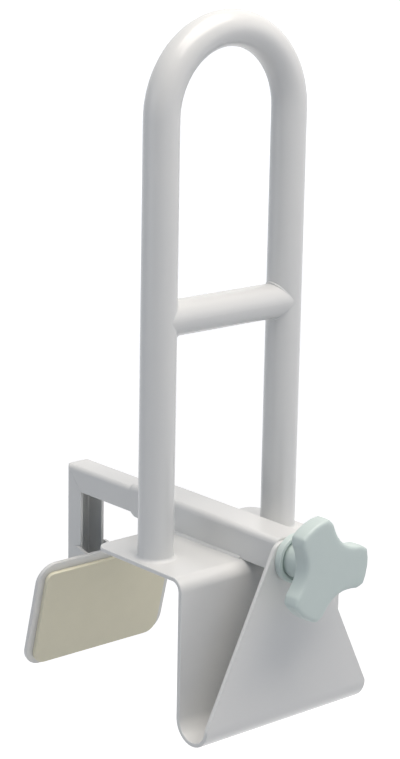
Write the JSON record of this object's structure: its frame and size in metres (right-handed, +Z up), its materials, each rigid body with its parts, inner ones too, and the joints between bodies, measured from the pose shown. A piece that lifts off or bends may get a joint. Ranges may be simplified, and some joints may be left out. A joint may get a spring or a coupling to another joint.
{
  "type": "bathtub safety rail",
  "caption": "Clamp-on bathtub grab rail: arched steel bar with a crossbar on a saddle, and a sliding, tilting jaw drawn in by a knob screw.",
  "frame": {"origin": "on the rim seat, the underside of the saddle's top plate, in the plane of the grab bar and midway between its legs", "axes": "+Z up along the grab bar; X along the tub wall; +Y across the wall towards the bath and the moving jaw, -Y towards the room and the knob"},
  "size_m": [0.152, 0.2788, 0.5048],
  "materials": {
    "painted_steel": "satin light grey powder coat",
    "painted_weld": "weld fillet under the same powder coat",
    "knob_plastic": "satin moulded plastic, pale grey green",
    "pad_rubber": "matt beige rubber",
    "zinc_steel": "bright zinc plate",
    "black_steel": "black oxide"
  },
  "bodies": {
    "rail_frame": {"grab_bar": "painted_steel", "crossbar": "painted_steel", "saddle_bracket": "painted_steel", "clamp_sleeve": "painted_steel", "wall_pad": "pad_rubber", "thrust_washer": "knob_plastic", "leg_weld_near": "painted_weld", "leg_weld_far": "painted_weld", "crossbar_weld_near": "painted_weld", "crossbar_weld_far": "painted_weld", "sleeve_weld_near": "painted_weld", "sleeve_weld_far": "painted_weld"},
    "slide_arm": {"arm_channel": "painted_steel", "post_channel": "painted_steel", "arm_nut": "zinc_steel", "pivot_spacer": "zinc_steel"},
    "clamp_drive": {"clamp_screw": "zinc_steel", "retaining_collar": "zinc_steel", "collar_pin": "zinc_steel", "clamp_knob": "knob_plastic"},
    "tilting_jaw": {"jaw_plate": "painted_steel", "jaw_ear_near": "painted_steel", "jaw_ear_far": "painted_steel", "jaw_pad": "pad_rubber", "pivot_bolt": "zinc_steel", "pivot_nut": "black_steel", "pivot_washer_near": "zinc_steel", "pivot_washer_far": "zinc_steel"}
  },
  "joints": [
    {"name": "knob_turn", "type": "hinge", "parent": "rail_frame", "child": "clamp_drive", "pos_m": [0, -0.1, 0.0124], "axis": [0, 1, 0], "range_deg": [0, 11400]},
    {"name": "arm_slide", "type": "slide", "parent": "rail_frame", "child": "slide_arm", "axis": [0, -1, 0], "range_m": [0, 0.095]},
    {"name": "jaw_tilt", "type": "hinge", "parent": "slide_arm", "child": "tilting_jaw", "pos_m": [0, 0.15, -0.0624], "axis": [1, 0, 0], "range_deg": [-30, 20]}
  ],
  "couplings": [
    {"joint": "knob_turn", "follows": "arm_slide", "rad_per_m": 2094.4}
  ]
}
